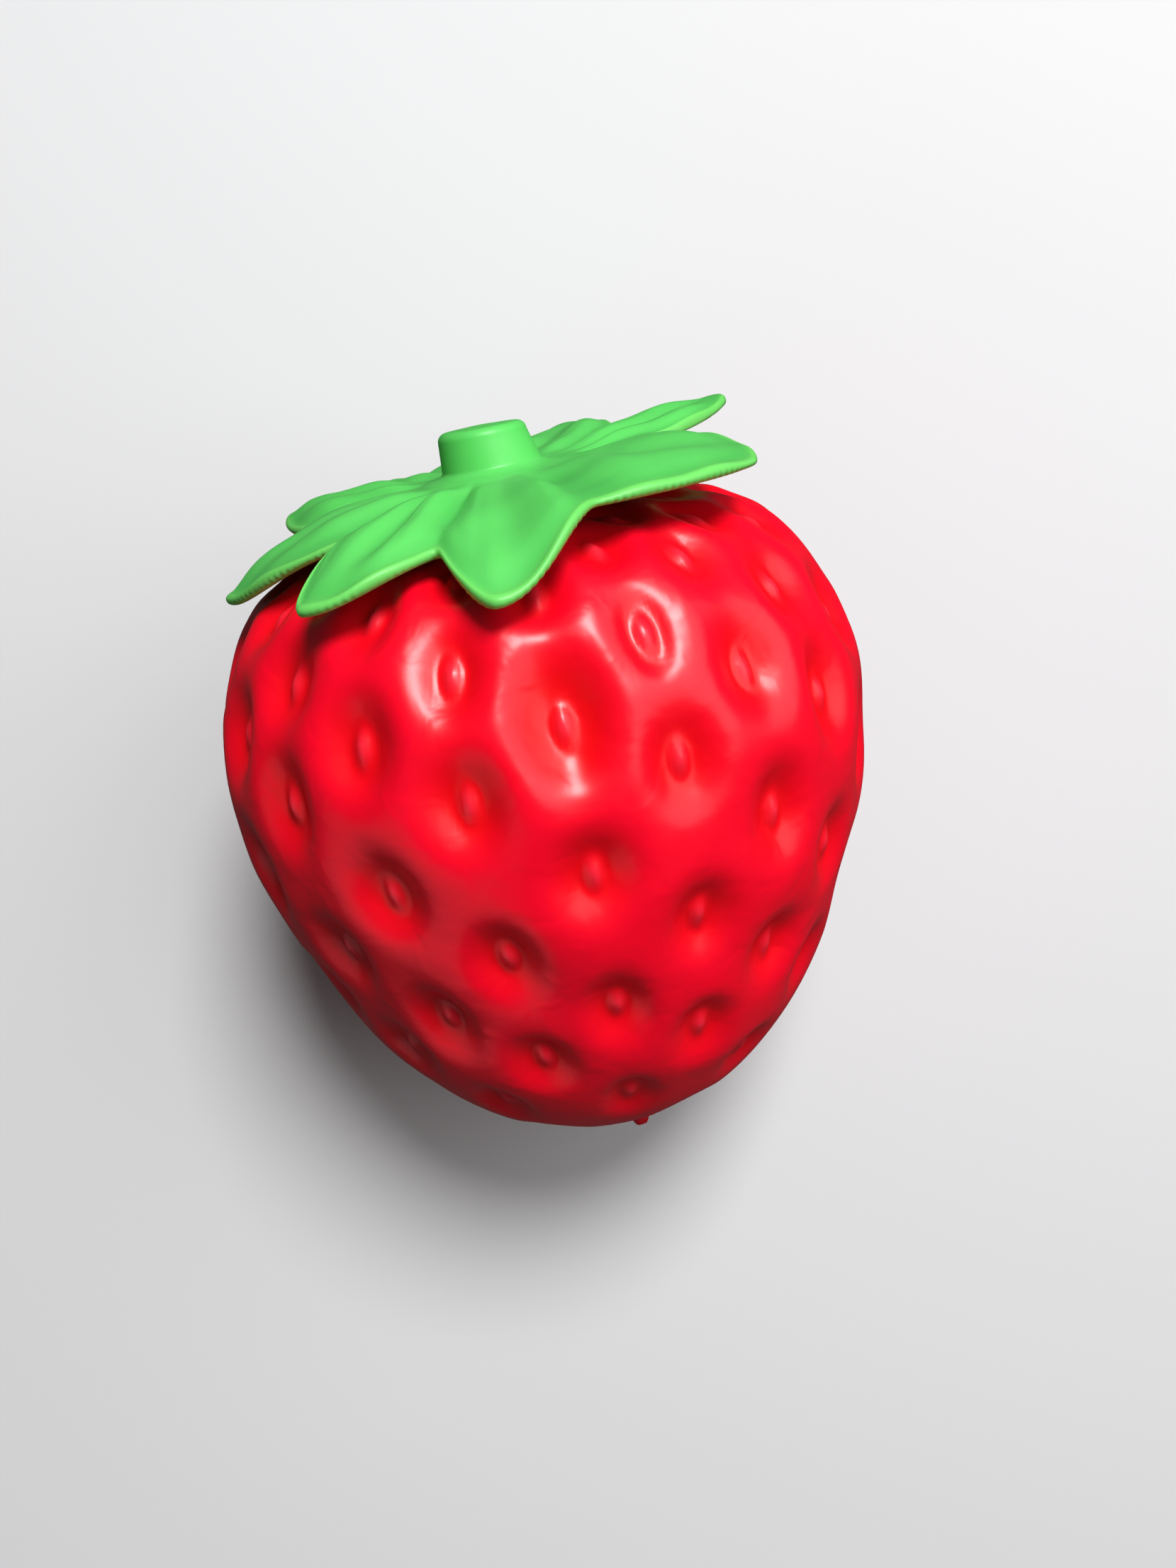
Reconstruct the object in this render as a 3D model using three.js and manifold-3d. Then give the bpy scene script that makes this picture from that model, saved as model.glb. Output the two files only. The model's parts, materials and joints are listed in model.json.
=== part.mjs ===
// A hollow toy strawberry lying on its flank: a dimpled blow-moulded body, and a leaf cap with
// its stalk stub that pushes into the body's neck. Millimetres, +Z up, +Y towards the leaf end.
// Each piece is drawn upright about its own axis, with the leaf end up, and then laid down.
import * as THREE from 'three';
import { ConvexHull } from 'three/addons/math/ConvexHull.js';
import { mergeVertices } from 'three/addons/utils/BufferGeometryUtils.js';
import Module from 'manifold-3d';

const wasm = await Module();
wasm.setup();

// How the fruit lies: its axis rises towards the leaf end, on a small flat spot.
const axisRise = 20;
const centreHeight = 30.9;
const centreSetback = 4.9;

// The body's outline: how far the skin is from the body's centre at equal steps of angle,
// from the pointed end round to the leaf end.
const bodyReach = [39.3, 37.8, 34.3, 31.6, 32.2, 34.3, 34.6, 30.0, 26.0];
const wall = 3.0;
const neckRadius = 7.0;

// Dimples: staggered rings, by degrees from the pointed end, with a raised seed in each dimple.
const rings = [
  { angle: 40.5, size: 0.8 },
  { angle: 54.6, size: 0.88 },
  { angle: 65, size: 0.92 },
  { angle: 79, size: 0.95 },
  { angle: 92, size: 1 },
  { angle: 106, size: 1.03 },
  { angle: 115, size: 1.03 },
  { angle: 124, size: 0.96 },
  { angle: 134, size: 0.85 },
  { angle: 140, size: 0.85 },
  { angle: 149, size: 0.8 },
];
const dimplesPerRing = 11;
const firstDimple = 4.2;
const tipRing = { angle: 25, count: 7, size: 0.75 };
const dimple = { halfWidth: 3.8, halfLength: 4.9, depth: 1.7 };
const seed = { halfWidth: 1.05, halfLength: 2.1, height: 0.75 };
const spotClearance = 6;
const ovalCorners = { rim: 12, slope: 8, seed: 6 };
const slopeShare = { out: 0.6, down: 0.85 };
const plainRings = [
  { angle: 6, count: 6 },
  { angle: 13, count: 12 },
  { angle: 161, count: 16 },
  { angle: 168, count: 12 },
];

// Leaf cap. Leaves by the angle round the axis, from the side that lies uppermost towards +X.
// reach and lift place a tip, out from the axis and above the body's centre; sharp is 1 for a
// pointed tip and 2 for a round one; groove is the middle furrow; the notch is the gap before
// the next leaf.
const leaves = [
  {
    around: -155, reach: 26.7, lift: 30.0, sharp: 1.6, groove: 0.5,
    notch: -127, notchReach: 20.5, notchLift: 29.2,
  },
  {
    around: -121, reach: 26.8, lift: 30.4, sharp: 1.7, groove: 0.3,
    notch: -101, notchReach: 18.5, notchLift: 29.0,
  },
  {
    around: -80.5, reach: 28.0, lift: 25.3, sharp: 1.4, groove: 0.2,
    notch: -43, notchReach: 19.0, notchLift: 29.6,
  },
  {
    around: -36, reach: 29.4, lift: 25.9, sharp: 1.8, groove: 0.7,
    notch: -14, notchReach: 21.8, notchLift: 28.3,
  },
  {
    around: -2.3, reach: 29.6, lift: 24.6, sharp: 1.35, groove: 0.15,
    notch: 20, notchReach: 23.6, notchLift: 30.2,
  },
  {
    around: 59, reach: 26.7, lift: 30.1, sharp: 1.3, groove: 0.4,
    notch: 102.5, notchReach: 16.5, notchLift: 32.6,
  },
  {
    around: 120, reach: 29.6, lift: 34.4, sharp: 1.5, groove: 0.6,
    notch: 135.5, notchReach: 18.8, notchLift: 33.6,
  },
  {
    around: 158, reach: 25.4, lift: 34.0, sharp: 1.6, groove: 0.5,
    notch: 180, notchReach: 19.5, notchLift: 31.3,
  },
];
// Crowned top of a leaf: its height, where the pillows sit, and where they rise and fade outwards.
const crown = { height: 1.25, level: 0.65, furrow: 0.4, notch: 0.5, rise: 0.4, fadeFrom: 0.7, fade: 0.8 };
const leafThickness = 1.4;
const leafFloor = 30.1;
const leafGap = 0.45;
const leafBend = 2.4;
const leafSteps = [0, 0.2, 0.4, 0.62, 0.82, 0.95];
const stepsBesideTip = 7;
const stub = {
  topRadius: 4.35,
  baseRadius: 4.85,
  flareRadius: 7.3,
  top: 36.0,
  edge: 0.9,
  lean: -0.5,
  foot: 0.8,
  footLean: -0.2,
};
const plug = {
  radius: 6.7,
  bore: 5.2,
  bottom: 21.6,
  roof: 1,
  beadRadius: 7.5,
  beadTop: 23.8,
  beadSlope: 0.4,
  beadBottom: 22.4,
};

const degrees = Math.PI / 180;
const weldDistance = 1e-4;

// Value of a smooth curve through equally spaced values, level at both ends; place runs 0 to 1.
function smoothCurve(values, place) {
  const last = values.length - 1;
  const at = (index) => values[index < 0 ? -index : index > last ? 2 * last - index : index];
  const span = Math.min(Math.max(place, 0), 1) * last;
  const i = Math.min(Math.floor(span), last - 1);
  const t = span - i;
  const rise = (at(i + 1) - at(i - 1)) / 2;
  const nextRise = (at(i + 2) - at(i)) / 2;
  const step = at(i + 1) - at(i);
  const bend = 3 * step - 2 * rise - nextRise;
  const twist = rise + nextRise - 2 * step;
  return at(i) + rise * t + bend * t ** 2 + twist * t ** 3;
}

// Skin distance from the body's centre at an angle from the pointed end.
function skinReach(polar) {
  return smoothCurve(bodyReach, polar / Math.PI);
}

// Height of the plain skin above the body's centre, at a radius on the leaf end.
function skinHeight(radius) {
  const halvings = 30;
  let low = Math.PI / 2;
  let high = Math.PI;
  for (let n = 0; n < halvings; n += 1) {
    const middle = (low + high) / 2;
    if (skinReach(middle) * Math.sin(middle) > radius) low = middle;
    else high = middle;
  }
  return -skinReach(high) * Math.cos(high);
}

// Point at an angle from the pointed end, an angle round the axis and a distance from the centre.
function pointAt(polar, around, reach) {
  const radius = reach * Math.sin(polar);
  const height = -reach * Math.cos(polar);
  return new THREE.Vector3(radius * Math.sin(around), -radius * Math.cos(around), height);
}

// Welds a geometry's corners, drops triangles that have no area, and makes a solid to cut or join.
function solidOf(geometry) {
  const bare = new THREE.BufferGeometry();
  bare.setAttribute('position', geometry.getAttribute('position').clone());
  bare.setIndex(geometry.index);
  const welded = mergeVertices(bare, weldDistance);
  const corners = [];
  for (let n = 0; n < welded.index.count; n += 3) {
    const [a, b, c] = [0, 1, 2].map((offset) => welded.index.getX(n + offset));
    if (a !== b && b !== c && c !== a) corners.push(a, b, c);
  }
  return new wasm.Manifold(new wasm.Mesh({
    numProp: 3,
    vertProperties: new Float32Array(welded.getAttribute('position').array),
    triVerts: new Uint32Array(corners),
  }));
}

function geometryOf(solid) {
  const mesh = solid.getMesh();
  const geometry = new THREE.BufferGeometry();
  geometry.setAttribute('position', new THREE.BufferAttribute(mesh.vertProperties, 3));
  geometry.setIndex(new THREE.BufferAttribute(mesh.triVerts, 1));
  return geometry;
}

// Where the upright pieces go: tipped back so that the axis rises towards +Y.
const lyingDown = new THREE.Matrix4().compose(
  new THREE.Vector3(0, centreSetback, centreHeight),
  new THREE.Quaternion().setFromAxisAngle(new THREE.Vector3(1, 0, 0), -(90 - axisRise) * degrees),
  new THREE.Vector3(1, 1, 1),
);

// Every dimple's place, except where one would open the flat spot that the fruit rests on.
function dimplePlaces() {
  const places = [];
  for (let n = 0; n < tipRing.count; n += 1) {
    const around = (n + 0.5) * 2 * Math.PI / tipRing.count;
    places.push({ polar: tipRing.angle * degrees, around, size: tipRing.size });
  }
  rings.forEach(({ angle, size }, ring) => {
    for (let n = 0; n < dimplesPerRing; n += 1) {
      const around = firstDimple * degrees + (n + (ring % 2) / 2) * 2 * Math.PI / dimplesPerRing;
      places.push({ polar: angle * degrees, around, size });
    }
  });
  return places.filter((place) => {
    const middle = pointAt(place.polar, place.around, skinReach(place.polar)).applyMatrix4(lyingDown);
    return middle.z > spotClearance / 2 || Math.hypot(middle.x, middle.y) > spotClearance;
  });
}

// One ring of skin points round a dimple's middle: an oval, lowered by drop.
function ovalRing(place, halfWidth, halfLength, count, drop) {
  const reach = skinReach(place.polar);
  const points = [];
  for (let n = 0; n < count; n += 1) {
    const turn = (n + 0.5) * 2 * Math.PI / count;
    const polar = place.polar + halfLength * Math.cos(turn) / reach;
    const around = place.around + halfWidth * Math.sin(turn) / (reach * Math.sin(place.polar));
    points.push({ polar, around, drop });
  }
  return points;
}

// The body's skin: points for each dimple's rim, slope and seed, joined up on a round ball and
// then moved out to the strawberry's outline.
function skinSolid() {
  const points = [{ polar: 0, around: 0, drop: 0 }, { polar: Math.PI, around: 0, drop: 0 }];
  for (const place of dimplePlaces()) {
    const width = dimple.halfWidth * place.size;
    const length = dimple.halfLength * place.size;
    const { out, down } = slopeShare;
    points.push(...ovalRing(place, width, length, ovalCorners.rim, 0));
    points.push(...ovalRing(place, width * out, length * out, ovalCorners.slope, dimple.depth * down));
    points.push(...ovalRing(place, seed.halfWidth, seed.halfLength, ovalCorners.seed, dimple.depth));
    points.push({ polar: place.polar, around: place.around, drop: dimple.depth - seed.height });
  }
  for (const { angle, count } of plainRings) {
    for (let n = 0; n < count; n += 1) {
      points.push({ polar: angle * degrees, around: n * 2 * Math.PI / count, drop: 0 });
    }
  }
  const ballRadius = 100;
  const skinPoints = new Map(points.map((p) => (
    [pointAt(p.polar, p.around, ballRadius), pointAt(p.polar, p.around, skinReach(p.polar) - p.drop)])));
  const ball = new ConvexHull().setFromPoints([...skinPoints.keys()]);
  const corners = [];
  for (const face of ball.faces) {
    let edge = face.edge;
    do {
      corners.push(skinPoints.get(edge.head().point));
      edge = edge.next;
    } while (edge !== face.edge);
  }
  return solidOf(new THREE.BufferGeometry().setFromPoints(corners));
}

// The hollow inside the body, with the round neck that the cap's plug goes through.
function hollowSolid() {
  const steps = 20;
  const sides = 32;
  const above = 40;
  const neckStep = 0.2;
  const profile = [];
  for (let n = 0; n <= steps; n += 1) {
    const polar = n / steps * Math.PI;
    const reach = skinReach(polar) - wall;
    const radius = n === 0 ? 0 : reach * Math.sin(polar);
    if (n > steps / 2 && radius < neckRadius) break;
    profile.push(new THREE.Vector2(radius, -reach * Math.cos(polar)));
  }
  const top = profile[profile.length - 1].y;
  profile.push(new THREE.Vector2(neckRadius, top - neckStep));
  profile.push(new THREE.Vector2(neckRadius, above));
  profile.push(new THREE.Vector2(0, above));
  return solidOf(new THREE.LatheGeometry(profile, sides).rotateX(Math.PI / 2));
}

// Body: skin less hollow, cut flat where it rests.
function bodyGeometry() {
  const roomSize = 200;
  const room = new THREE.BoxGeometry(roomSize, roomSize, roomSize);
  room.translate(0, 0, roomSize / 2);
  room.applyMatrix4(lyingDown.clone().invert());
  return geometryOf(skinSolid().subtract(hollowSolid()).intersect(solidOf(room)));
}

// The leaf cap's directions round the axis: the same number on each side of a tip, so that tips
// and notches are among them. across is 0 midway between a leaf's notches and 1 at them.
function leafDirections() {
  const directions = [];
  leaves.forEach((leaf, n) => {
    const before = leaves.at(n - 1);
    const width = (leaf.notch - before.notch + 360) % 360;
    for (const { side, gap } of [{ side: -1, gap: before }, { side: 1, gap: leaf }]) {
      const span = (side * (gap.notch - leaf.around) + 360) % 360;
      for (let step = 0; step < stepsBesideTip; step += 1) {
        const away = (side < 0 ? stepsBesideTip - step : step) / stepsBesideTip;
        const around = leaf.around + side * away * span;
        const bulge = 1 - away ** leaf.sharp;
        const swell = (1 + Math.cos(away * Math.PI)) / 2;
        directions.push({
          around: around * degrees,
          reach: gap.notchReach + (leaf.reach - gap.notchReach) * bulge,
          lift: gap.notchLift + (leaf.lift - gap.notchLift) * swell,
          across: Math.abs(2 * ((around - before.notch + 720) % 360) / width - 1),
          groove: leaf.groove,
        });
      }
    }
  });
  return directions;
}

// Underside of the leaves: level by the stub and bending towards each leaf's own height, always
// clear of the body.
function leafUnderside(radius, { reach, lift }) {
  const free = leafFloor + (lift - leafThickness - leafFloor) * (radius / reach) ** leafBend;
  return Math.max(free, skinHeight(radius) + leafGap);
}

// How far a leaf's top is crowned over its plain thickness: two pillows beside the middle furrow,
// fading towards the stub and the rim.
function leafCrown(out, { across, groove }) {
  const { smoothstep } = THREE.MathUtils;
  const furrow = groove * (1 - smoothstep(across, 0, crown.furrow));
  const pillow = crown.level - smoothstep(across, crown.notch, 1) - furrow;
  const fade = 1 - crown.fade * smoothstep(out, crown.fadeFrom, 1);
  return crown.height * pillow * smoothstep(out, 0, crown.rise) * fade;
}

// One side of the cap, from the stub's top down over a leaf and back under it to the plug:
// radius, height and how far the point leans towards +X.
function capProfile(direction) {
  const { reach } = direction;
  const start = stub.flareRadius;
  const radiusAt = (out) => start + (reach - start) * out;
  const under = (out) => leafUnderside(radiusAt(out), direction);
  const top = (out) => under(out) + leafThickness + leafCrown(out, direction);
  return [
    [stub.topRadius - stub.edge, stub.top, stub.lean],
    [stub.topRadius, stub.top - stub.edge, stub.lean],
    [stub.baseRadius, leafFloor + leafThickness + stub.foot, stub.footLean],
    ...leafSteps.map((out) => [radiusAt(out), top(out), 0]),
    [reach, under(1) + leafThickness / 2, 0],
    ...leafSteps.toReversed().map((out) => [radiusAt(out), under(out), 0]),
    [plug.radius, leafFloor, 0],
    [plug.radius, plug.beadTop, 0],
    [plug.beadRadius, plug.beadTop - plug.beadSlope, 0],
    [plug.beadRadius, plug.beadBottom, 0],
    [plug.radius, plug.bottom, 0],
    [plug.bore, plug.bottom, 0],
    [plug.bore, leafFloor - plug.roof, 0],
  ];
}

// Cap: the side profiles joined round the axis, closed by a point on the axis above and below.
function capGeometry() {
  const directions = leafDirections();
  const profiles = directions.map(capProfile);
  const columns = profiles.length;
  const rows = profiles[0].length;
  const positions = [stub.lean, 0, stub.top, 0, 0, leafFloor - plug.roof];
  profiles.forEach((profile, column) => {
    const { around } = directions[column];
    for (const [radius, height, lean] of profile) {
      positions.push(radius * Math.sin(around) + lean, -radius * Math.cos(around), height);
    }
  });
  const index = [];
  for (let column = 0; column < columns; column += 1) {
    const here = 2 + column * rows;
    const there = 2 + ((column + 1) % columns) * rows;
    index.push(0, here, there);
    for (let row = 0; row < rows - 1; row += 1) {
      index.push(here + row, here + row + 1, there + row);
      index.push(there + row, here + row + 1, there + row + 1);
    }
    index.push(here + rows - 1, 1, there + rows - 1);
  }
  const geometry = new THREE.BufferGeometry();
  geometry.setAttribute('position', new THREE.Float32BufferAttribute(positions, 3));
  geometry.setIndex(index);
  return geometry;
}

function piece(name, geometry, color, roughness) {
  geometry.computeVertexNormals();
  const material = new THREE.MeshStandardMaterial({ color, roughness, metalness: 0 });
  const mesh = new THREE.Mesh(geometry, material);
  mesh.name = name;
  return mesh;
}

const strawberry = new THREE.Group();
strawberry.add(piece('fruit_body', bodyGeometry(), 0xe8061f, 0.35));
strawberry.add(piece('leaf_cap', capGeometry(), 0x5ad85c, 0.4));
lyingDown.decompose(strawberry.position, strawberry.quaternion, strawberry.scale);

export default strawberry;
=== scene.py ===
# Toy strawberry of moulded plastic, lying on its flank: a dimpled red body and a green push-in
# leaf cap. Lengths are in millimetres until a mesh is made, which is in metres.
import json
import math
import bpy
import numpy as np
from mathutils import Matrix, Vector

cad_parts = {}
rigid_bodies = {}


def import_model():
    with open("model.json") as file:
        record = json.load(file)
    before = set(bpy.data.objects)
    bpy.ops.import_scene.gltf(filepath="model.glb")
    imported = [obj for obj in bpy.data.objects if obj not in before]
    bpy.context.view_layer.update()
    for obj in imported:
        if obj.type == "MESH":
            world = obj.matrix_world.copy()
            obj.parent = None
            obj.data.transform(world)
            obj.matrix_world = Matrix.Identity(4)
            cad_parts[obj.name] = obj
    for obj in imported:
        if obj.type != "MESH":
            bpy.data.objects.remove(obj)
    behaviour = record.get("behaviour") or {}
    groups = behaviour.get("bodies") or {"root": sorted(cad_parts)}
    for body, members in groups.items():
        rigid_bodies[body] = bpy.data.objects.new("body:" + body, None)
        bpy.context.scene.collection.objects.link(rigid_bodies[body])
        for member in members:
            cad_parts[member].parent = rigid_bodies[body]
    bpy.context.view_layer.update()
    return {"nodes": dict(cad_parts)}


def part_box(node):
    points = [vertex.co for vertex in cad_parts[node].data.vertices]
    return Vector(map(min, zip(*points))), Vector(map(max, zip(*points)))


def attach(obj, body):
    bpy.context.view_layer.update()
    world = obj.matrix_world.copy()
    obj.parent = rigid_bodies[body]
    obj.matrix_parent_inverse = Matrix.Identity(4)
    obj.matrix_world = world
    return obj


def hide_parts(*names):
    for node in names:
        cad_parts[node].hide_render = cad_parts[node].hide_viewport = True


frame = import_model()
print("frame loaded:", sorted(frame["nodes"]))

mm = 0.001


# How the fruit lies, from the frame

lying = {
    "rise": 20.0,           # degrees that the axis climbs towards the leaf end
    "centreUp": 0.474,      # the body's centre, as a share of the body's width
    "centreBack": 0.0751,
}
bodyLow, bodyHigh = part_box("fruit_body")
bodyWidth = (bodyHigh.x - bodyLow.x) / mm
unit = bodyWidth / 65.2     # 1 at the size that the lengths below are given for
layDown = Matrix.Translation((0, lying["centreBack"] * bodyWidth, lying["centreUp"] * bodyWidth)) @ \
    Matrix.Rotation(math.radians(lying["rise"] - 90), 4, "X")


def smoothRamp(low, high, x):
    t = np.clip((x - low) / (high - low), 0, 1)
    return t * t * (3 - 2 * t)


def smoothCurve(values, place):
    # smooth curve through equally spaced values, level at both ends; place runs 0 to 1
    values = np.asarray(values, float)
    last = len(values) - 1
    padded = np.concatenate([values[1:2], values, values[-2:-1]])
    span = np.clip(place, 0, 1) * last
    i = np.minimum(span.astype(int), last - 1)
    t = span - i
    before, here, there, after = (padded[i + n] for n in range(4))
    rise, nextRise, step = (there - before) / 2, (after - here) / 2, there - here
    bend, twist = 3 * step - 2 * rise - nextRise, rise + nextRise - 2 * step
    return here + rise * t + bend * t ** 2 + twist * t ** 3


def uprightPoint(radius, around, height):
    # around is an angle in radians from the side that ends uppermost, towards +X
    parts = np.broadcast_arrays(radius * np.sin(around), -radius * np.cos(around), height)
    return np.stack(parts, -1)


def meshOfRings(name, rings, closeStart, closeEnd):
    # rings: rows x columns x 3, upright, each open end closed by one point; the faces look outwards
    # where the rows climb on the outside
    rows, columns = rings.shape[:2]
    points = rings.reshape(-1, 3)
    grid = np.arange(rows * columns).reshape(rows, columns)
    turned = np.roll(grid, -1, axis=1)
    quads = np.stack([grid[:-1], turned[:-1], turned[1:], grid[1:]], -1).reshape(-1, 4)
    start, end = len(points), len(points) + 1
    points = np.concatenate([points, [closeStart, closeEnd]])
    caps = [np.stack([turned[0], grid[0], np.full(columns, start)], -1),
            np.stack([grid[-1], turned[-1], np.full(columns, end)], -1)]
    triangles = np.concatenate(caps)
    turn = np.array(layDown.to_3x3())
    points = points @ turn.T + np.array(layDown.translation)
    points[:, 2] = np.maximum(points[:, 2], 0)
    mesh = bpy.data.meshes.new(name)
    mesh.vertices.add(len(points))
    mesh.vertices.foreach_set("co", (points * mm).ravel())
    corners = np.concatenate([quads.ravel(), triangles.ravel()])
    mesh.loops.add(len(corners))
    mesh.loops.foreach_set("vertex_index", corners)
    quadStarts = np.arange(len(quads)) * 4
    starts = np.concatenate([quadStarts, len(quads) * 4 + np.arange(len(triangles)) * 3])
    mesh.polygons.add(len(starts))
    mesh.polygons.foreach_set("loop_start", starts)
    mesh.update(calc_edges=True)
    mesh.validate()
    mesh.polygons.foreach_set("use_smooth", np.ones(len(mesh.polygons), bool))
    piece = bpy.data.objects.new(name, mesh)
    bpy.context.scene.collection.objects.link(piece)
    return piece


def markPoints(piece, name, mask):
    # a value from 0 to 1 for every point of the rings, for the material to read
    values = np.concatenate([mask.ravel(), [0, 0]]).astype(np.float32)
    piece.data.attributes.new(name, "FLOAT", "POINT").data.foreach_set("value", values)


# Body: a thin shell with a neck at the leaf end

body = {
    # from the body's centre to the skin, at equal steps of angle from the pointed end to the leaf end
    "reach": [39.3, 37.8, 34.3, 31.6, 32.2, 34.3, 34.6, 30.0, 26.0],
    "wall": 3.2,
    "neckRadius": 7.0,
    "columns": 460,
    "rows": 198,
    "innerRows": 14,
    "waveHeight": 0.14,
    "lumpHeight": 0.13,
    "lumpiness": 5,         # how close together the lumps are
    "calm": 0.7,            # how much smoother the skin gets under the leaves
    "calmFrom": 2.1,        # radians from the pointed end
    "calmFull": 2.45,
}
dimples = {
    "rings": [40.5, 54.6, 65, 79, 92, 106, 115, 124, 134, 140, 149],
    "perRing": 11,
    "first": 4.2,
    "tipRing": 25,
    "tipCount": 7,
    "tipSize": 0.75,
    "ringSizes": [0.80, 0.88, 0.92, 0.95, 1.0, 1.03, 1.03, 0.96, 0.85, 0.85, 0.8],
    "halfWidth": 4.3,
    "halfLength": 5.8,
    "depth": 1.85,
    "steep": 2.7,
    "fall": 2.6,            # at its rim a dimple's depth is down to exp(-fall) of the whole
    "unevenness": 0.07,     # how much a dimple's width and length vary
    "farthest": 0.95,       # cosine of the angle beyond which a dimple no longer counts
    "spotClearance": 6,
    "odd": {            # (ring, place in the ring): the ones that differ from the rest
        (6, 0): {"size": 1.25, "depth": 1.05, "steep": 3.0},
        (7, 0): {"depth": 0.8, "crest": 0.15},
        (7, 10): {"size": 1.1, "steep": 2.4, "crest": 0.05},
        (6, 1): {"depth": 1.1, "steep": 2.3},
        (5, 10): {"size": 1.05, "depth": 1.15, "steep": 2.4},
    },
}
seeds = {"halfWidth": 1.4, "halfLength": 2.7, "height": 0.8, "crestOut": 1.6, "crestWidth": 0.45}
nub = {"polar": 17, "around": 10, "radius": 0.85, "height": 1.1}
nubSlope = {"from": 0.6, "to": 1.5}   # where the nub falls away, in its radii
mouldLine = {"around": 83, "width": 0.28, "height": 0.15}
goldenAngle = 2.399                   # spreads values evenly from one dimple to the next


def skinReach(polar):
    return smoothCurve(body["reach"], polar / math.pi) * unit


def directionOf(polar, around):
    return uprightPoint(np.sin(polar), around, -np.cos(polar))


def dimplePlaces():
    places = []
    for n in range(dimples["tipCount"]):
        places.append((dimples["tipRing"], (n + 0.5) * 360 / dimples["tipCount"], dimples["tipSize"], {}))
    for ring, polar in enumerate(dimples["rings"]):
        for n in range(dimples["perRing"]):
            around = dimples["first"] + (n + (ring % 2) / 2) * 360 / dimples["perRing"]
            size = dimples["ringSizes"][ring]
            odd = dimples["odd"].get((ring, n), {})
            places.append((polar, around, size * odd.get("size", 1), odd))
    kept = []
    for polar, around, size, odd in places:
        polar, around = math.radians(polar), math.radians(around)
        reach = float(skinReach(np.array(polar)))
        middle = layDown @ Vector(directionOf(polar, around) * reach)
        clearance = dimples["spotClearance"]
        if middle.z > clearance / 2 or math.hypot(middle.x, middle.y) > clearance:
            kept.append((polar, around, reach, size, odd))
    return kept


def skinRelief(polar, around):
    # how far the skin stands out of the plain outline, in millimetres, and where the seeds' tops are, for
    # the painted sheen on them
    shape = np.broadcast(polar, around).shape
    direction = directionOf(polar, around).reshape(-1, 3)
    relief, seedSheen = np.zeros((2, len(direction)))
    for n, (dimplePolar, dimpleAround, reach, size, odd) in enumerate(dimplePlaces()):
        middle = directionOf(dimplePolar, dimpleAround)
        near = np.nonzero(direction @ middle > dimples["farthest"])[0]
        along = directionOf(dimplePolar + math.pi / 2, dimpleAround)
        across = directionOf(math.pi / 2, dimpleAround + math.pi / 2)
        toward = direction[near]
        facing = toward @ middle
        s = toward @ along / facing * reach
        t = toward @ across / facing * reach
        wobble = 1 + dimples["unevenness"] * math.sin(n * goldenAngle + 1)
        width, length = dimples["halfWidth"] * size * wobble, dimples["halfLength"] * size * (2 - wobble)
        out = np.hypot(t / width, s / length)
        depth, steep = dimples["depth"] * size * odd.get("depth", 1), odd.get("steep", dimples["steep"])
        relief[near] -= depth * np.exp(-dimples["fall"] * out ** steep)
        seedOut = np.hypot(t / seeds["halfWidth"], s / seeds["halfLength"])
        seedShape = 0.5 + 0.5 * np.cos(math.pi * np.clip(seedOut, 0, 1))
        relief[near] += seeds["height"] * seedShape
        seedSheen[near] = np.maximum(seedSheen[near], seedShape ** 2)
        crestOff = (seedOut - seeds["crestOut"]) / seeds["crestWidth"]
        relief[near] += odd.get("crest", 0) * np.exp(-crestOff ** 2)
    return relief.reshape(shape), seedSheen.reshape(shape)


def bodyWaves(polar, around):
    # slow unevenness of a blown shell, then the finer lumps between the dimples
    waves = np.sin(3 * around + 1.1) * np.sin(2.3 * polar + 0.4) + 0.7 * np.sin(5 * around + 4 * polar + 2.0)
    waves = waves + 0.5 * np.sin(2 * around - 5 * polar) + 0.4 * np.sin(7 * around - 3.1 * polar + 0.7)
    x, y, z = np.moveaxis(directionOf(polar, around) * body["lumpiness"], -1, 0)
    lumps = np.sin(2.3 * x + 1.4 * y + 0.5) * np.sin(1.9 * y - 1.2 * z + 2)
    lumps = lumps + np.sin(2.9 * z + 1.1 * x + 1) * np.sin(1.7 * x - 2.4 * y)
    calm = 1 - body["calm"] * smoothRamp(body["calmFrom"], body["calmFull"], polar)
    return (body["waveHeight"] * waves + body["lumpHeight"] * lumps) * np.sin(polar) * calm


def bodyMoulding(polar, around):
    # the parting line down both sides and the nub near the pointed end
    quarter = math.pi / 2
    turned = np.mod(around - math.radians(mouldLine["around"]) + quarter, math.pi)
    off = np.abs(turned - quarter) * skinReach(polar) * np.sin(polar)
    line = mouldLine["height"] * np.exp(-(off / mouldLine["width"]) ** 2)
    middle = directionOf(math.radians(nub["polar"]), math.radians(nub["around"]))
    away = np.arccos(np.clip(directionOf(polar, around) @ middle, -1, 1)) * skinReach(polar)
    slopeFrom, slopeTo = (nub["radius"] * nubSlope[end] for end in ("from", "to"))
    return line + nub["height"] * (1 - smoothRamp(slopeFrom, slopeTo, away))


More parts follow.
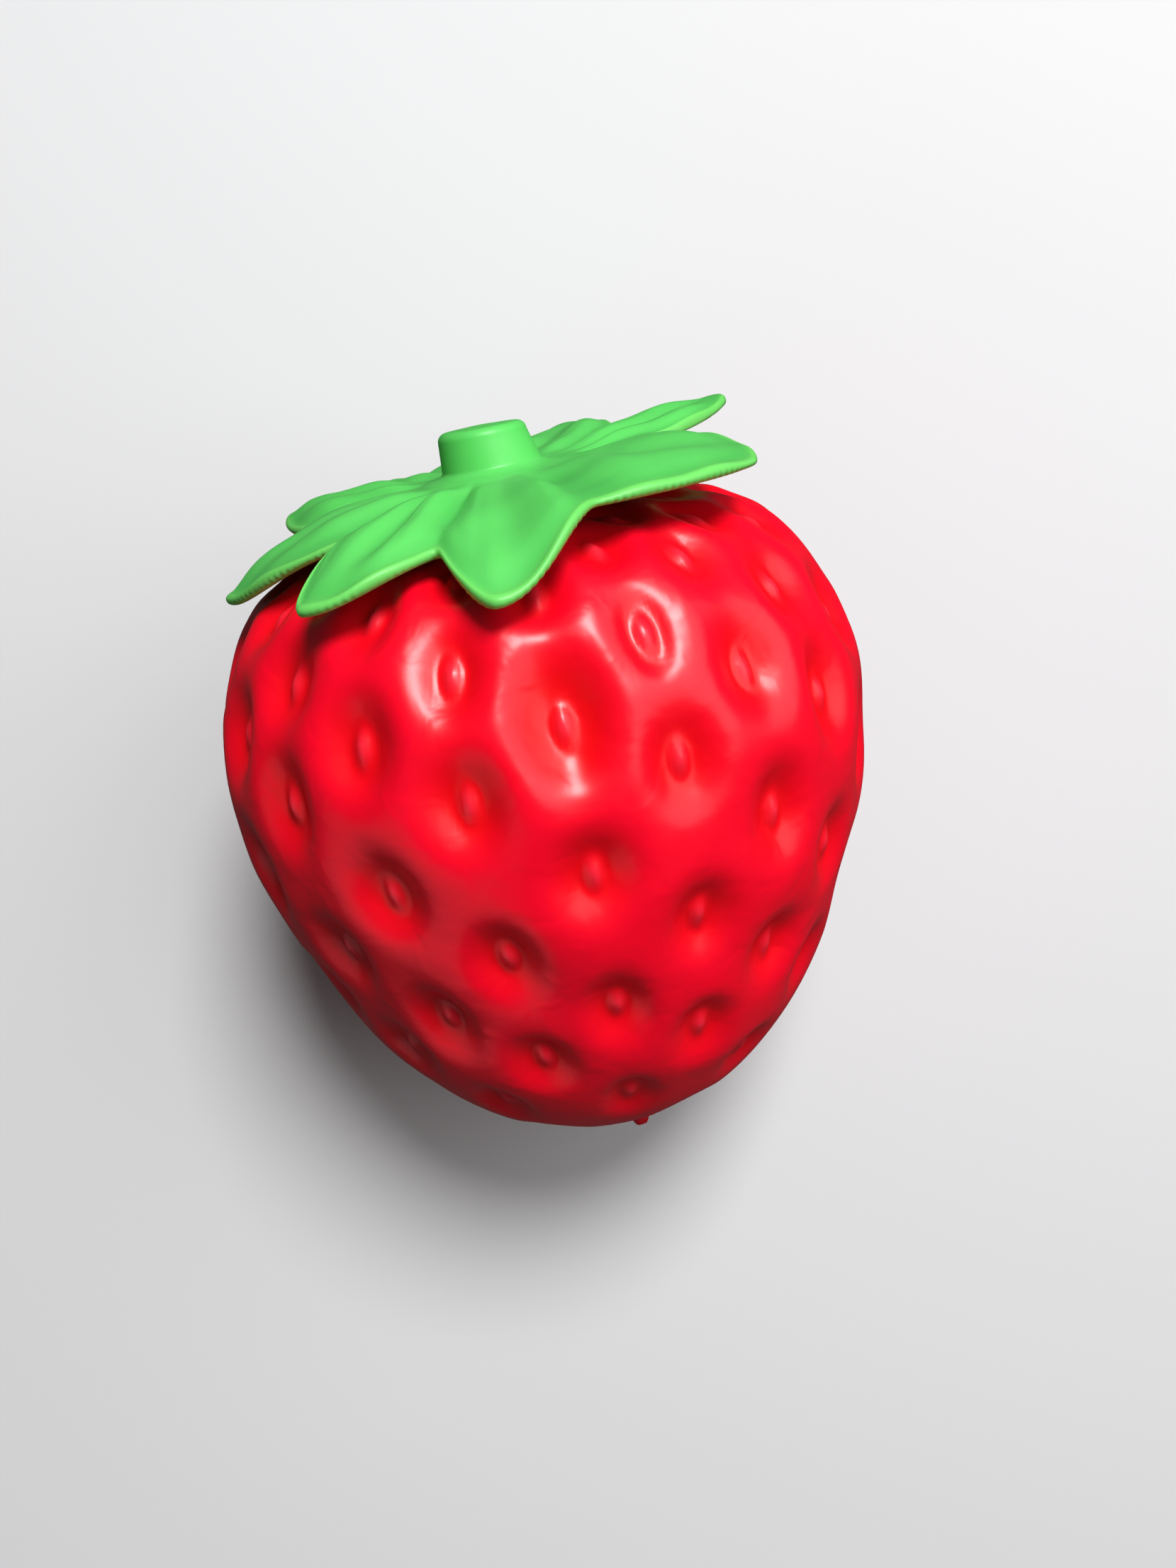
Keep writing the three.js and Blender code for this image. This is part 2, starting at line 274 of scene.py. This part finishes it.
def buildBody():
    neck = body["neckRadius"] * unit
    polars = np.linspace(0.75 * math.pi, math.pi, 501)   # the shoulder, where the neck is
    radii = skinReach(polars) * np.sin(polars)
    neckPolar = np.interp(-neck, -radii, polars)
    around = np.linspace(0, 2 * math.pi, body["columns"], endpoint=False)[None, :]
    polar = np.linspace(0, neckPolar, body["rows"] + 1)[1:, None]
    relief, seedSheen = skinRelief(polar, around)
    reach = skinReach(polar) + relief + bodyWaves(polar, around) + bodyMoulding(polar, around)
    outer = uprightPoint(reach * np.sin(polar), around, -reach * np.cos(polar))
    inPolar = np.linspace(neckPolar, 0, body["innerRows"])[:-1, None] + 0 * around
    inReach = skinReach(inPolar) - body["wall"] * unit
    inner = uprightPoint(inReach * np.sin(inPolar), around + 0 * inPolar, -inReach * np.cos(inPolar))
    inner[0, :, :2] = outer[-1, :, :2]
    tip = float(skinReach(np.array(0.0)))
    tipOutside, tipInside = (0, 0, -tip), (0, 0, body["wall"] * unit - tip)
    piece = meshOfRings("body_shell", np.concatenate([outer, inner]), tipOutside, tipInside)
    inside = 0 * inner[..., 0]
    # painted shade in the dimples, and painted sheen on the seed tops; nothing inside the shell
    markPoints(piece, "hollow", np.concatenate([np.clip(-relief / dimples["depth"], 0, 1), inside]))
    markPoints(piece, "sheen_and_pale_rim", np.concatenate([seedSheen, inside]))
    print("body:", len(piece.data.vertices), "points,", len(dimplePlaces()), "dimples")
    return piece


# Leaf cap: leaves and stalk stub on top, plug underneath

leafCap = {
    "thickness": 1.4,
    "floor": 30.1,
    "gap": 0.45,
    "bend": 2.4,            # how late a leaf bends to its tip's height
    "columns": 980,
    "leafRows": 36,
    "bendRows": 8,          # rows round each edge and fillet, and down the stub's side
    "tipSoftness": 1.3,     # degrees over which tips and notches are rounded
    "rippleHeight": 0.22,
    "rimWidth": 3.6,
    "rimDrop": 0.5,
    "rimPaleness": 1.4,     # how wide the paler edge is
    "toothPitch": 0.75,
    "toothDepth": 0.2,
}
# a leaf's crowned top, between its middle furrow and the notches
crownShape = {
    "height": 1.25,
    "level": 0.65,          # share of the height that the pillows have
    "furrow": 0.4,          # share of the way across over which the middle furrow ends
    "notch": 0.5,           # share of the way across from which the skin falls to the notch
    "rise": 0.4,            # share of the way along over which the crown rises
    "fadeFrom": 0.7,        # share of the way along from which it fades
    "fade": 0.8,            # how much of it is gone at the rim
}
# painted shade in the furrows: over which crown heights, and from where along the leaf
furrowShade = {"none": 0.3, "full": -0.5, "from": 0.1, "fullFrom": 0.4}
# around, reach and lift are at a leaf's tip, and sharp is 1 for a pointed leaf and 2 for a round one;
# the notch is the gap before the next leaf, and the groove is the depth of the middle furrow
leaves = [
    {"around": -155, "reach": 26.7, "lift": 30.0, "sharp": 1.6, "groove": 0.5,
     "notch": -127, "notchReach": 20.5, "notchLift": 29.2},
    {"around": -121, "reach": 26.8, "lift": 30.4, "sharp": 1.7, "groove": 0.3,
     "notch": -101, "notchReach": 18.5, "notchLift": 29.0},
    {"around": -80.5, "reach": 28.0, "lift": 25.3, "sharp": 1.4, "groove": 0.2,
     "notch": -43, "notchReach": 19.0, "notchLift": 29.6},
    {"around": -36, "reach": 29.4, "lift": 25.9, "sharp": 1.8, "groove": 0.7,
     "notch": -14, "notchReach": 21.8, "notchLift": 28.3},
    {"around": -2.3, "reach": 29.6, "lift": 24.6, "sharp": 1.35, "groove": 0.15,
     "notch": 20, "notchReach": 23.6, "notchLift": 30.2},
    {"around": 59, "reach": 26.7, "lift": 30.1, "sharp": 1.3, "groove": 0.4,
     "notch": 102.5, "notchReach": 16.5, "notchLift": 32.6},
    {"around": 120, "reach": 29.6, "lift": 34.4, "sharp": 1.5, "groove": 0.6,
     "notch": 135.5, "notchReach": 18.8, "notchLift": 33.6},
    {"around": 158, "reach": 25.4, "lift": 34.0, "sharp": 1.6, "groove": 0.5,
     "notch": 180, "notchReach": 19.5, "notchLift": 31.3},
]
stub = {
    "topRadius": 4.35,
    "baseRadius": 4.85,
    "flareRadius": 7.3,
    "top": 36.0,
    "edge": 0.9,
    "topRings": [0.5, 1.2, 2.0, 2.7],
    "doming": 0.02,
    "shoulder": 0.15,       # how far the edge starts below the top's middle
    "foot": 0.8,            # how far above the leaves the side begins to flare
    "lean": -0.5,
    "footLean": 0.4,        # share of the lean that is left at the foot
}
plug = {
    "radius": 6.7,
    "collar": 0.4,
    "bore": 5.2,
    "bottom": 21.6,
    "beadRadius": 7.5,
    "beadTop": 23.8,
    "beadSlope": 0.4,
    "beadBottom": 22.4,
    "roof": 1,
}


def leafShape(around):
    # the rim's reach and lift in each direction, the place across the leaf there (0 middle, 1 notch)
    # and the depth of its middle furrow
    degrees = np.degrees(around)
    reach, lift, across, groove = np.zeros((4, len(around)))
    for n, leaf in enumerate(leaves):
        start = leaves[n - 1]["notch"]
        place = (degrees - start) % 360 / ((leaf["notch"] - start) % 360)
        within = place <= 1
        across[within] = np.abs(2 * place[within] - 1)
        groove[within] = leaf["groove"]
        for side, gap in ((-1, leaves[n - 1]), (1, leaf)):
            span = side * (gap["notch"] - leaf["around"]) % 360
            off = side * (degrees - leaf["around"]) % 360
            mine = off <= span
            share = off[mine] / span
            bulge, swell = 1 - share ** leaf["sharp"], 1 + np.cos(share * math.pi)
            reach[mine] = gap["notchReach"] + (leaf["reach"] - gap["notchReach"]) * bulge
            lift[mine] = gap["notchLift"] + (leaf["lift"] - gap["notchLift"]) * swell / 2
    step = 360 / len(around)
    neighbours = 20
    offsets = np.arange(-neighbours, neighbours + 1)
    weights = np.exp(-(offsets * step / leafCap["tipSoftness"]) ** 2)
    rounded = sum(weight * np.roll(reach, offset) for weight, offset in zip(weights, offsets))
    return rounded / weights.sum(), lift, across, groove


def skinHeight(radius):
    steps = 1500
    polars = np.linspace(math.pi, math.pi / 2, steps)
    reach = skinReach(polars)
    return np.interp(radius, reach * np.sin(polars), -reach * np.cos(polars))


def buildCap():
    around = np.linspace(-math.pi, math.pi, leafCap["columns"], endpoint=False)
    reach, lift, across, groove = leafShape(around)
    reach, lift = reach * unit, lift * unit
    thickness, floor = leafCap["thickness"] * unit, leafCap["floor"] * unit
    rimRound = thickness / 2
    flare = stub["flareRadius"] * unit
    rimStart = reach - rimRound

    def underside(radius):
        free = floor + (lift - thickness - floor) * (radius / reach) ** leafCap["bend"]
        return np.maximum(free, skinHeight(radius) + leafCap["gap"] * unit)

    def crown(radius):
        # pillows on both sides of a leaf's middle furrow, and furrows running in from the notches
        share = (radius - flare) / (rimStart - flare)
        furrow = groove * (1 - smoothRamp(0, crownShape["furrow"], across))
        pillow = crownShape["level"] - smoothRamp(crownShape["notch"], 1, across) - furrow
        fade = 1 - crownShape["fade"] * smoothRamp(crownShape["fadeFrom"], 1, share)
        along = smoothRamp(0, crownShape["rise"], share) * fade
        x, y = radius * np.sin(around), radius * np.cos(around)
        ripple = np.sin(0.55 * x + 0.3 * y + 1.0) * np.sin(0.5 * y - 0.25 * x)
        ripple = ripple * smoothRamp(0.0, 0.3, share)
        drop = leafCap["rimDrop"] * smoothRamp(leafCap["rimWidth"] * unit, 0.0, reach - radius)
        return (crownShape["height"] * pillow * along + leafCap["rippleHeight"] * ripple - drop) * unit

    rows, furrows, rims = [], [], []

    def ring(radius, height, aside=0.0, furrow=0.0, rim=0.0):
        rows.append(uprightPoint(radius + 0 * around, around, height + 0 * around))
        rows[-1][:, 0] += aside * unit
        furrows.append(furrow + 0 * around)
        rims.append(rim + 0 * around)

    topRadius, edge, top = (stub[name] * unit for name in ("topRadius", "edge", "top"))
    base, leafTop, lean = stub["baseRadius"] * unit, floor + thickness, stub["lean"]
    shoulder, bendRows = stub["shoulder"] * unit, leafCap["bendRows"]
    for radius in stub["topRings"]:
        ring(radius * unit, top - stub["doming"] * radius ** 2 * unit, lean)
    for n in range(bendRows + 1):
        turn = n / bendRows * math.pi / 2
        ring(topRadius - edge + edge * math.sin(turn), top - edge * (1 - math.cos(turn)) - shoulder, lean)
    sideTop, sideLow = top - edge - shoulder, leafTop + stub["foot"] * unit
    for n in range(1, bendRows + 1):
        share = n / bendRows
        aside = lean * (1 - (1 - stub["footLean"]) * share)
        ring(topRadius + (base - topRadius) * share, sideTop + (sideLow - sideTop) * share, aside)
    for n in range(1, bendRows + 1):
        share = n / (bendRows + 1)
        turn = share * math.pi / 2
        radius = base + (flare - base) * (1 - math.cos(turn))
        height = leafTop + (sideLow - leafTop) * (1 - math.sin(turn))
        ring(radius, height, lean * stub["footLean"] * (1 - share))
    for share in np.linspace(0, 1, leafCap["leafRows"]):
        radius = flare + (rimStart - flare) * share
        # a paler rim near the edge, and painted shade where the crown dips into the furrows
        rim = smoothRamp(leafCap["rimPaleness"] * unit, 0.0, reach - radius)
        furrow = smoothRamp(furrowShade["none"], furrowShade["full"], crown(radius) / unit)
        furrow = furrow * smoothRamp(furrowShade["from"], furrowShade["fullFrom"], share)
        ring(radius, underside(radius) + thickness + crown(radius), furrow=furrow, rim=rim)
    # small uneven teeth all round the rim
    rimX, rimY = reach * np.sin(around), reach * np.cos(around)
    stepLength = np.hypot(np.diff(rimX, append=rimX[:1]), np.diff(rimY, append=rimY[:1]))
    teeth = round(stepLength.sum() / leafCap["toothPitch"])
    phase = np.cumsum(stepLength) / stepLength.sum() * teeth * 2 * math.pi
    uneven = 0.6 + 0.4 * np.sin(0.137 * phase + np.sin(0.031 * phase))
    tooth = leafCap["toothDepth"] * unit * np.sin(phase) * uneven
    for n in range(1, bendRows + 1):
        turn = n / (bendRows + 1) * math.pi
        height = underside(rimStart) + thickness / 2 + rimRound * math.cos(turn)
        height = height + crown(rimStart) * (1 + math.cos(turn)) / 2
        ring(rimStart + rimRound * math.sin(turn) + tooth * math.sin(turn / 2) ** 6, height, rim=1.0)
    plugTop = (plug["radius"] + plug["collar"]) * unit
    for share in np.linspace(1, 0, leafCap["leafRows"] // 2):
        radius = plugTop + (rimStart - plugTop) * share
        rim = smoothRamp(leafCap["rimPaleness"] * unit, 0.0, reach - radius)
        ring(radius, underside(radius), rim=rim)
    plugSide = [
        (plug["radius"], leafCap["floor"]),
        (plug["radius"], plug["beadTop"]),
        (plug["beadRadius"], plug["beadTop"] - plug["beadSlope"]),
        (plug["beadRadius"], plug["beadBottom"]),
        (plug["radius"], plug["bottom"]),
        (plug["bore"], plug["bottom"]),
        (plug["bore"], leafCap["floor"] - plug["roof"]),
    ]
    for radius, height in plugSide:
        ring(radius * unit, height * unit)
    # taken from the plug upwards, so that the faces look outwards
    plugRoof, stubTop = (0, 0, floor - plug["roof"] * unit), (lean * unit, 0, top)
    piece = meshOfRings("cap_leaves", np.stack(rows[::-1]), plugRoof, stubTop)
    # painted shade in the furrows, and a paler rim round the leaves
    markPoints(piece, "hollow", np.stack(furrows[::-1]))
    markPoints(piece, "sheen_and_pale_rim", np.stack(rims[::-1]))
    print("cap:", len(piece.data.vertices), "points")
    return piece


bodyPiece = buildBody()
capPiece = buildCap()
for piece, node, finish in [
    (bodyPiece, "fruit_body", "body_plastic"),
    (capPiece, "leaf_cap", "leaf_plastic"),
]:
    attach(piece, "root")
    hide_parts(node)


# Materials

def addNode(tree, kind, place, **settings):
    node = tree.nodes.new(kind)
    node.location = place
    for name, value in settings.items():
        setattr(node, name, value)
    return node


mouldedNoise = {            # noise scales are per metre
    "cloud": {"Scale": 45, "Detail": 3},
    "patch": {"Scale": 160},
    "grain": {"Scale": 1500, "Detail": 2},
    "wave": {"Scale": 300, "Detail": 1.5, "Distortion": 0.6},
}


def mouldedGroup():
    # moulded plastic: faint cloudiness of colour, uneven gloss and a fine waxy grain, with painted shade,
    # and a painted sheen on seeds and a paler rim on leaves, mixed into the colour
    group = bpy.data.node_groups.new("mouldedPlastic", "ShaderNodeTree")
    inputs = [
        ("Colour", "NodeSocketColor", (1, 0, 0, 1)),
        ("Cloud Colour", "NodeSocketColor", (1, 0, 0, 1)),
        ("Cloudiness", "NodeSocketFloat", 0.3),
        ("Roughness", "NodeSocketFloat", 0.35),
        ("Gloss Spread", "NodeSocketFloat", 0.08),
        ("Grain Height", "NodeSocketFloat", 0.02),
        ("Wave Height", "NodeSocketFloat", 0.1),
        ("Painted Shade Colour", "NodeSocketColor", (1, 0, 0, 1)),
        ("Hollow", "NodeSocketFloat", 0),
        ("Sheen And Pale Rim Colour", "NodeSocketColor", (1, 0, 0, 1)),
        ("Sheen_and_pale_rim", "NodeSocketFloat", 0),
    ]
    outputs = [
        ("Colour", "NodeSocketColor"),
        ("Roughness", "NodeSocketFloat"),
        ("Normal", "NodeSocketVector"),
    ]
    for name, kind, value in inputs:
        group.interface.new_socket(name, in_out="INPUT", socket_type=kind).default_value = value
    for name, kind in outputs:
        group.interface.new_socket(name, in_out="OUTPUT", socket_type=kind)
    inlet = addNode(group, "NodeGroupInput", (-900, 0))
    outlet = addNode(group, "NodeGroupOutput", (700, 0))
    place = addNode(group, "ShaderNodeTexCoord", (-900, -300))
    noise = {}
    for row, (name, values) in enumerate(mouldedNoise.items()):
        noise[name] = addNode(group, "ShaderNodeTexNoise", (-650, 200 - 250 * row))
        for socket, value in values.items():
            noise[name].inputs[socket].default_value = value
    amount = addNode(group, "ShaderNodeMath", (-400, 200), operation="MULTIPLY")
    blend = addNode(group, "ShaderNodeMix", (-150, 250), data_type="RGBA")
    centred = addNode(group, "ShaderNodeMath", (-400, -200), operation="SUBTRACT")
    centred.inputs[1].default_value = 0.5
    spread = addNode(group, "ShaderNodeMath", (-400, -50), operation="MULTIPLY_ADD")
    grainUp = addNode(group, "ShaderNodeMath", (-400, -350), operation="MULTIPLY")
    waveUp = addNode(group, "ShaderNodeMath", (-200, -500), operation="MULTIPLY_ADD")
    shadeMix = addNode(group, "ShaderNodeMix", (100, 250), data_type="RGBA")
    sheenAndRimMix = addNode(group, "ShaderNodeMix", (350, 250), data_type="RGBA")
    bump = addNode(group, "ShaderNodeBump", (300, -400))
    bump.inputs["Distance"].default_value = mm
    bump.inputs["Strength"].default_value = 1
    link = group.links.new
    for texture in noise.values():
        link(place.outputs["Object"], texture.inputs["Vector"])
    link(noise["cloud"].outputs["Fac"], amount.inputs[0])
    link(inlet.outputs["Cloudiness"], amount.inputs[1])
    link(amount.outputs[0], blend.inputs["Factor"])
    link(inlet.outputs["Colour"], blend.inputs["A"])
    link(inlet.outputs["Cloud Colour"], blend.inputs["B"])
    link(noise["patch"].outputs["Fac"], centred.inputs[0])
    link(centred.outputs[0], spread.inputs[0])
    link(inlet.outputs["Gloss Spread"], spread.inputs[1])
    link(inlet.outputs["Roughness"], spread.inputs[2])
    link(noise["grain"].outputs["Fac"], grainUp.inputs[0])
    link(inlet.outputs["Grain Height"], grainUp.inputs[1])
    link(noise["wave"].outputs["Fac"], waveUp.inputs[0])
    link(inlet.outputs["Wave Height"], waveUp.inputs[1])
    link(grainUp.outputs[0], waveUp.inputs[2])
    link(waveUp.outputs[0], bump.inputs["Height"])
    # painted shade in the hollows, then painted sheen on seed tops and the paler leaf rim, over the colour
    link(inlet.outputs["Hollow"], shadeMix.inputs["Factor"])
    link(blend.outputs["Result"], shadeMix.inputs["A"])
    link(inlet.outputs["Painted Shade Colour"], shadeMix.inputs["B"])
    link(inlet.outputs["Sheen_and_pale_rim"], sheenAndRimMix.inputs["Factor"])
    link(shadeMix.outputs["Result"], sheenAndRimMix.inputs["A"])
    link(inlet.outputs["Sheen And Pale Rim Colour"], sheenAndRimMix.inputs["B"])
    link(sheenAndRimMix.outputs["Result"], outlet.inputs["Colour"])
    link(spread.outputs[0], outlet.inputs["Roughness"])
    link(bump.outputs["Normal"], outlet.inputs["Normal"])
    return group


def newMaterial(name):
    material = bpy.data.materials.new(name)
    material.use_nodes = True
    tree = material.node_tree
    return material, tree, tree.nodes["Principled BSDF"]


redPlastic = {
    "colour": (1.0, 0.0, 0.022, 1),
    "cloudColour": (0.97, 0.0, 0.008, 1),
    "cloudiness": 0.4,
    "hollow": 0.8,          # painted shade in dimples and furrows
    "hollowColour": (0.82, 0.0, 0.001, 1),
    "sheen_and_pale_rim": 0.8,          # painted sheen on seed tops, and a paler rim on the leaves
    "sheenAndPaleRimColour": (1.0, 0.025, 0.055, 1),
    "roughness": 0.33,
    "glossSpread": 0.1,
    "grainHeight": 0.006,
    "waveHeight": 0.13,
    "shine": 0.45,          # specular level
    "subsurface": 0.12,
    "glow": 0.002,          # how deep light sinks in, in metres
    "glowTint": (1.0, 0.15, 0.1),
}
greenPlastic = {
    "colour": (0.095, 0.6, 0.105, 1),
    "cloudColour": (0.15, 0.7, 0.16, 1),
    "cloudiness": 0.5,
    "hollow": 0.4,          # painted shade in dimples and furrows
    "hollowColour": (0.05, 0.42, 0.07, 1),
    "sheen_and_pale_rim": 0.3,          # painted sheen on seed tops, and a paler rim on the leaves
    "sheenAndPaleRimColour": (0.28, 0.78, 0.15, 1),
    "roughness": 0.42,
    "glossSpread": 0.1,
    "grainHeight": 0.008,
    "waveHeight": 0.05,
    "shine": 0.4,           # specular level
    "subsurface": 0.2,
    "glow": 0.002,          # how deep light sinks in, in metres
    "glowTint": (0.3, 1.0, 0.3),
}


def plasticMaterial(name, group, look):
    material, tree, shader = newMaterial(name)
    skin = addNode(tree, "ShaderNodeGroup", (-400, 100), node_tree=group)
    skin.inputs["Colour"].default_value = look["colour"]
    skin.inputs["Cloud Colour"].default_value = look["cloudColour"]
    skin.inputs["Cloudiness"].default_value = look["cloudiness"]
    skin.inputs["Roughness"].default_value = look["roughness"]
    skin.inputs["Gloss Spread"].default_value = look["glossSpread"]
    skin.inputs["Grain Height"].default_value = look["grainHeight"]
    skin.inputs["Wave Height"].default_value = look["waveHeight"]
    skin.inputs["Painted Shade Colour"].default_value = look["hollowColour"]
    skin.inputs["Sheen And Pale Rim Colour"].default_value = look["sheenAndPaleRimColour"]
    # marks for the painted shade, and for the painted sheen with the paler rim
    for row, markName in enumerate(["hollow", "sheen_and_pale_rim"]):
        mark = addNode(tree, "ShaderNodeAttribute", (-900, -200 * row), attribute_name=markName)
        share = addNode(tree, "ShaderNodeMath", (-650, -200 * row), operation="MULTIPLY")
        share.inputs[1].default_value = look[markName]
        tree.links.new(mark.outputs["Fac"], share.inputs[0])
        tree.links.new(share.outputs[0], skin.inputs[markName.capitalize()])
    tree.links.new(skin.outputs["Colour"], shader.inputs["Base Color"])
    tree.links.new(skin.outputs["Roughness"], shader.inputs["Roughness"])
    tree.links.new(skin.outputs["Normal"], shader.inputs["Normal"])
    shader.inputs["Specular IOR Level"].default_value = look["shine"]
    shader.inputs["Subsurface Weight"].default_value = look["subsurface"]
    shader.inputs["Subsurface Radius"].default_value = look["glowTint"]
    shader.inputs["Subsurface Scale"].default_value = look["glow"]
    return material


moulded = mouldedGroup()
bodyPiece.data.materials.append(plasticMaterial("red_plastic", moulded, redPlastic))
capPiece.data.materials.append(plasticMaterial("green_plastic", moulded, greenPlastic))
print("materials made")


# Floor, lights and camera

studio = {
    "floorSize": 3.0,
    "floorDrop": 0.02,      # millimetres below the fruit, so that the two don't share a surface
    "floorColour": (0.69, 0.69, 0.70, 1),
    "floorRoughness": 0.9,
    "sky": 0.05,
    "keyTurn": 64,          # the side that a light comes from, in degrees from +X towards +Y
    "keyRise": 56,
    "keyDistance": 0.7,
    "keySize": 0.26,
    "keyPower": 5.2,
    "panelTurn": 8,
    "panelRise": 44,
    "panelDistance": 0.8,
    "panelSize": 0.9,
    "panelPower": 3.2,
    "fillTurn": 222,
    "fillRise": 14,
    "fillDistance": 0.9,
    "fillSize": 0.9,
    "fillPower": 0.6,
}


def flatSheet(name, size, height):
    half = size / 2
    mesh = bpy.data.meshes.new(name)
    corners = [(-half, -half, height), (half, -half, height), (half, half, height), (-half, half, height)]
    mesh.from_pydata(corners, [], [(0, 1, 2, 3)])
    sheet = bpy.data.objects.new(name, mesh)
    bpy.context.scene.collection.objects.link(sheet)
    return sheet


floor = flatSheet("floor", studio["floorSize"], -studio["floorDrop"] * mm)
floorMaterial, _, floorShader = newMaterial("pale_floor")
floorShader.inputs["Base Color"].default_value = studio["floorColour"]
floorShader.inputs["Roughness"].default_value = studio["floorRoughness"]
floor.data.materials.append(floorMaterial)
floor.visible_diffuse = False   # no light bounces from the floor, as if dark flags stood round the fruit
floor.visible_glossy = False

world = bpy.data.worlds.new("studio")
world.use_nodes = True
background = world.node_tree.nodes["Background"]
background.inputs["Color"].default_value = (1, 1, 1, 1)
background.inputs["Strength"].default_value = studio["sky"]
bpy.context.scene.world = world


def areaLight(name, target):
    turn, rise = math.radians(studio[name + "Turn"]), math.radians(studio[name + "Rise"])
    away = Vector((math.cos(turn) * math.cos(rise), math.sin(turn) * math.cos(rise), math.sin(rise)))
    lamp = bpy.data.lights.new(name, "AREA")
    lamp.shape = "DISK"
    lamp.size = studio[name + "Size"]
    lamp.energy = studio[name + "Power"]
    holder = bpy.data.objects.new(name, lamp)
    holder.location = target + away * studio[name + "Distance"]
    holder.rotation_mode = "QUATERNION"
    holder.rotation_quaternion = (-away).to_track_quat("-Z", "Y")
    bpy.context.scene.collection.objects.link(holder)


middle = (bodyLow + bodyHigh) / 2
areaLight("key", middle)
areaLight("panel", middle)
areaLight("fill", middle)

# the camera's place is from the body's centre, in body widths
view = {"turn": -10.88, "tip": 0.16, "lens": 27.03, "height": 1.927, "aside": 0.0478, "back": -0.0375}
bodyCentre = layDown.translation * mm
lens = bpy.data.cameras.new("camera")
lens.lens = view["lens"]
lens.sensor_width = 36
camera = bpy.data.objects.new("camera", lens)
camera.location = bodyCentre + Vector((view["aside"], view["back"], view["height"])) * bodyWidth * mm
camera.rotation_euler = (math.radians(view["tip"]), 0, math.radians(view["turn"]))
lens.clip_start = 0.01
bpy.context.scene.collection.objects.link(camera)
bpy.context.scene.camera = camera
bpy.context.scene.view_settings.view_transform = "Standard"
print("studio made")
